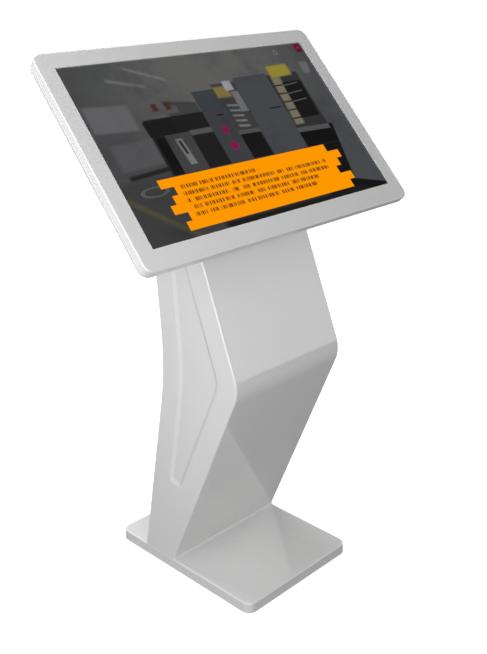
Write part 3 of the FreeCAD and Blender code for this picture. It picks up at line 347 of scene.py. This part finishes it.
def lacquered_board():
    """Green lacquered board with thin tracks under dark chips."""
    track_edge, chip_edge = 0.2 * MM, 0.1 * MM

    def lanes(way, pitch, clear):
        """Tracks pitch apart, with bare board for clear to each side of the middle between them."""
        return abs(way.wrapped(pitch) - pitch / 2).rise(clear, clear + track_edge)

    board = Finish("lacquered_board")
    here = board.place()
    across = board.along(here, head_right)
    up = board.along(here, head_up)
    out = board.along(here, head_out)
    chips_from = glass_middle.dot(head_out) - chips_behind_glass
    up_lanes = lanes(across, 2.4 * MM, 0.7 * MM)
    cross_lanes = lanes(up, 3.1 * MM, 1.0 * MM)
    patch = board.cells(here, 90.0).rise(0.35, 0.4)
    tracks = up_lanes * patch + cross_lanes * (1.0 - patch)
    green = board.mix(tracks * 0.7, (0.012, 0.075, 0.03), (0.05, 0.20, 0.08))
    chip = 1.0 - out.rise(chips_from, chips_from + chip_edge)
    board.set(Base_Color=board.mix(chip, green, (0.02, 0.02, 0.022)),
              Roughness=0.28 + chip * 0.25,
              Normal=board.bump(tracks * (1.0 - chip), 0.04 * MM))
    return board.material


class Picture:
    """Layers painted over a ground, in screen units: across and up both run from -1 to 1."""

    def __init__(self, finish, across, up, ground):
        self.finish = finish
        self.across = across
        self.up = up
        self.ground = ground

    def lay(self, mask, colour, share=1.0):
        if isinstance(colour, (int, float)):
            colour = (colour, colour, colour * 1.04)
        self.ground = self.finish.mix(mask * share, self.ground, colour)

    def window(self, left, right, low, high, lean=0.0, slope=0.0, soft=0.006):
        """A soft-edged mask whose sides may lean and whose level edges may slope."""
        x = self.across - self.up * lean if lean else self.across
        y = self.up - self.across * slope if slope else self.up
        wide = x.rise(left - soft, left + soft) - x.rise(right - soft, right + soft)
        tall = y.rise(low - soft, low + soft) - y.rise(high - soft, high + soft)
        return wide * tall

    def block(self, left, right, low, high, colour, share=1.0, **shape):
        self.lay(self.window(left, right, low, high, **shape), colour, share)

    def rungs(self, count, left, right, low, step, thick, colour, **shape):
        """A stack of level bars, step apart."""
        for i in range(count):
            foot = low + step * i
            self.block(left, right, foot, foot + thick, colour, **shape)

    def distance(self, x, y, flat=1.0):
        """How far a point is from (x, y), in half-heights of the screen.

        The level way counts flat times less."""
        aspect = screen_half_width / screen_half_height / flat
        return (((self.across - x) * aspect).power(2.0) + (self.up - y).power(2.0)).power(0.5)

    def dot(self, x, y, radius, colour, share=1.0):
        self.lay(1.0 - self.distance(x, y).rise(radius * 0.75, radius * 1.15), colour, share)

    def hoop(self, x, y, radius, width, colour, share, flat=1.0):
        """A thin ring, flat times as wide as it is tall."""
        off_line = abs(self.distance(x, y, flat) - radius)
        self.lay(1.0 - off_line.rise(width * 0.5, width), colour, share)


def hall(picture, murk):
    """A dim works hall: a pale ceiling with two strip lamps, benches, cabinets and a floor line."""
    picture.block(-1.1, 1.1, -1.1, -0.30, 0.046, slope=0.02, soft=0.05)
    half_lamp = 0.018
    for left, right, height, slope in ((-0.56, -0.30, 0.511, -0.73), (-0.72, -0.47, 0.454, -0.48)):
        picture.block(left, right, height - half_lamp, height + half_lamp, 0.17, 0.7,
                      slope=slope, soft=0.016)
    # a pale wall panel and a bench at the far left
    picture.block(-0.97, -0.67, 0.12, 0.42, 0.115, slope=-0.12, soft=0.02)
    picture.block(-0.92, -0.62, -0.16, 0.13, 0.085, slope=0.05, soft=0.02)
    picture.block(-0.90, -0.61, -0.22, -0.17, 0.018, slope=0.10, soft=0.015)
    # a low machine left of the middle, with an open dark bay
    picture.block(-0.42, -0.17, 0.08, 0.38, 0.050, slope=-0.25, soft=0.02)
    picture.block(-0.62, -0.16, -0.34, 0.30, 0.014, soft=0.01)
    picture.block(-0.65, -0.33, 0.31, 0.40, 0.082, slope=-0.06, soft=0.01)
    picture.block(-0.62, -0.40, 0.10, 0.28, 0.012, lean=-0.05)
    picture.block(-0.60, -0.53, -0.34, 0.08, 0.006)
    picture.block(-0.53, -0.34, -0.34, 0.10, 0.052)
    picture.block(-0.47, -0.42, -0.26, 0.04, 0.17, lean=-0.06)
    picture.block(-0.455, -0.435, -0.14, 0.02, 0.02, lean=-0.06)
    picture.block(-0.34, -0.165, 0.05, 0.11, 0.085, soft=0.01)
    for x in (-0.49, -0.39):
        picture.block(x - 0.02, x + 0.02, 0.38, 0.47, (0.07, 0.025, 0.022), soft=0.01)
    # the bay between the two tall cabinets: stacked pale sheets in a dark rack
    picture.block(0.01, 0.22, -0.34, 0.60, 0.045, soft=0.01)
    picture.block(0.01, 0.13, 0.42, 0.56, (0.20, 0.15, 0.05), soft=0.015)
    picture.block(0.11, 0.18, 0.50, 0.62, 0.30, soft=0.01)
    picture.rungs(5, 0.05, 0.14, 0.06, 0.065, 0.025, 0.17, slope=-0.2, soft=0.010)
    picture.block(0.14, 0.20, 0.22, 0.48, 0.15, soft=0.01)
    picture.block(0.02, 0.19, -0.34, -0.03, 0.009, soft=0.006)
    picture.block(0.01, 0.20, -0.04, 0.01, 0.075, slope=-0.05)
    # the rack behind the second cabinet, with a lit yellow panel over it
    picture.block(0.50, 0.80, -0.12, 0.62, 0.030, soft=0.01)
    picture.block(0.52, 0.60, -0.05, 0.58, (0.17, 0.155, 0.11), lean=0.04, soft=0.014)
    picture.rungs(5, 0.51, 0.61, 0.02, 0.11, 0.02, 0.03, soft=0.006)
    picture.block(0.55, 0.745, 0.55, 0.705, (0.27, 0.225, 0.035), slope=0.05, soft=0.018)
    picture.block(0.60, 0.775, 0.02, 0.50, 0.010, lean=0.03, soft=0.008)
    picture.rungs(3, 0.61, 0.75, 0.16, 0.11, 0.012, 0.10, slope=0.12, soft=0.006)
    picture.block(0.48, 0.84, -0.34, -0.11, 0.007, soft=0.006)
    picture.block(0.47, 0.80, -0.12, -0.06, 0.080, slope=-0.06)
    picture.block(0.45, 1.10, -1.10, -0.33, 0.008, soft=0.03)
    # two tall cabinets, each with a grip slot, and a third at the right edge
    picture.block(-0.168, 0.015, -0.35, 0.545, (0.045, 0.049, 0.055), slope=0.02)
    picture.block(-0.075, -0.015, 0.22, 0.235, 0.008)
    picture.block(0.205, 0.505, -0.35, 0.640, (0.058, 0.061, 0.068), lean=0.015, slope=0.02)
    picture.block(0.375, 0.480, 0.198, 0.212, 0.008)
    picture.block(0.205, 0.500, -0.04, -0.03, 0.055, soft=0.01)
    for y in (0.05, -0.15):
        picture.dot(-0.07, y, 0.050, (0.25, 0.006, 0.070))
    picture.block(0.84, 0.95, 0.58, 0.74, 0.125, lean=0.05, soft=0.02)
    picture.block(0.855, 1.20, -1.10, 0.80, (0.064, 0.067, 0.072), lean=0.14, slope=0.12)
    picture.block(0.70, 1.20, -1.60, -0.46, 0.008, slope=-0.5, soft=0.012)
    # floor: a guide line, a cable hoop and the shade under the caption
    picture.block(-1.10, -0.62, -2.00, -1.95, (0.115, 0.10, 0.03), 0.65, slope=-1.5, soft=0.05)
    picture.hoop(-0.79, -0.46, 0.048, 0.010, 0.16, 0.45, flat=3.2)
    picture.block(-0.45, 0.80, -1.10, -0.93, 0.012, soft=0.03)
    picture.lay(murk, 0.02, 0.35)


def caption(picture):
    """An orange caption panel with stepped ends and five rows of dark strokes in place of words."""
    finish = picture.finish
    top, bands, band, overlap = -0.352, 6, 0.0945, 0.001
    lefts, rights = (-0.745, -0.655, -0.70), (0.64, 0.74, 0.69)
    panel = None
    for i in range(bands):
        low = top - band * (i + 1)
        strip = picture.window(lefts[i % 3], rights[i % 3], low - overlap, low + band + overlap,
                               soft=0.003)
        panel = strip if panel is None else panel.peak(strip)
    picture.lay(panel, (1.0, 0.315, 0.0))

    first_row, row_step, half_row, row_start = -0.467, 0.0765, 0.021, -0.615
    row_ends = (0.0, 0.575, 0.59, 0.44, 0.40)
    # how often words and strokes come, and what keeps one row from repeating the last
    word_pace, stroke_pace = 24.0, 100.0
    word_offset, stroke_offset = 9.7, 5.3
    for i, end in enumerate(row_ends):
        middle = first_row - row_step * i
        words = finish.streaks(picture.across * word_pace + word_offset * i, 0.0)
        strokes = finish.streaks(picture.across * stroke_pace + stroke_offset * i, 1.0)
        row = picture.window(row_start, end, middle - half_row, middle + half_row, soft=0.008)
        gaps = words.rise(0.30, 0.36)
        picture.lay(row * gaps * strokes.rise(0.40, 0.56), (0.070, 0.030, 0.010), 0.95)


def lit_screen():
    """The glass over the running display, with a hall picture and a caption drawn in light."""
    screen = Finish("lit_screen")
    here = screen.place()
    across = screen.along(here, head_right) / screen_half_width
    up = (screen.along(here, head_up) - glass_middle.dot(head_up)) / screen_half_height
    glow_across, glow_up = 0.05, 0.70
    from_glow = ((across - glow_across).power(2.0) + (up - glow_up).power(2.0)).power(0.5)
    glow = 1.0 - from_glow.rise(0.2, 1.2)
    ceiling = screen.mix(glow, (0.060, 0.061, 0.063), (0.108, 0.109, 0.106))
    picture = Picture(screen, across, up, ceiling)
    murk = screen.noise(here, 14.0, 4.0, 0.6).rise(0.45, 0.8)
    hall(picture, murk)
    picture.block(0.928, 0.985, 0.875, 0.990, (0.11, 0.004, 0.030), soft=0.006)
    picture.dot(0.957, 0.935, 0.026, (0.30, 0.03, 0.11), 0.6)
    picture.hoop(0.72, 0.905, 0.028, 0.008, 0.22, 0.6)
    caption(picture)
    smears = screen.noise(screen.stretched(here, (1.0, 2.5, 1.0)), 30.0, 4.0, 0.6)
    screen.set(Base_Color=(0.0, 0.0, 0.0), Emission_Color=picture.ground, Emission_Strength=1.0,
               Roughness=0.04 + smears.rise(0.5, 0.8) * 0.10, IOR=1.5, Specular_IOR_Level=0.22)
    return screen.material


def floor_finish():
    """A pale matt floor that runs out into the white room."""
    floor = Finish("pale_floor")
    here = floor.place()
    mottle = floor.noise(here, 9.0, 4.0)
    away = floor.node("ShaderNodeVectorMath", {"operation": "LENGTH"}, {0: here}, output="Value")
    far = away.rise(*floor_fade)
    floor.set(Base_Color=floor.mix(mottle, (0.50, 0.50, 0.50), (0.53, 0.53, 0.53)), Roughness=0.8,
              Specular_IOR_Level=0.1, Emission_Strength=1.0,
              Emission_Color=floor.mix(far, (0.72, 0.72, 0.72), white))
    return floor.material


# ---------------------------------------------------------------- pieces
def studio_floor(finish):
    """A wide pale floor that the kiosk stands on."""
    mesh = bpy.data.meshes.new("studio_floor")
    shape = bmesh.new()
    bmesh.ops.create_grid(shape, x_segments=8, y_segments=8, size=floor_reach)
    shape.to_mesh(mesh)
    shape.free()
    floor = bpy.data.objects.new("studio_floor", mesh)
    floor.location.z = -floor_drop
    mesh.materials.append(finish)
    bpy.context.scene.collection.objects.link(floor)
    floor.visible_diffuse = False
    floor.visible_glossy = False


def paint(node, finish):
    piece = frame["nodes"][node]
    if not piece.material_slots:
        piece.data.materials.append(finish)
    for held in piece.material_slots:
        held.material = finish


camera()
studio()
studio_floor(floor_finish())

finishes = {
    "white_paint": gloss_white_coat(),
    "screen_glass": lit_screen(),
    "foam_rubber": closed_cell_foam(),
    "bright_steel": bright_plated_steel(),
    "zinc_steel": zinc_plated_sheet(),
    "circuit_board": lacquered_board(),
    "contact_brass": contact_brass(),
    "black_plastic": fine_black_moulding(),
}
for part in frame["record"]["subparts"]:
    paint(part["node"], finishes[part["material_slot"]])
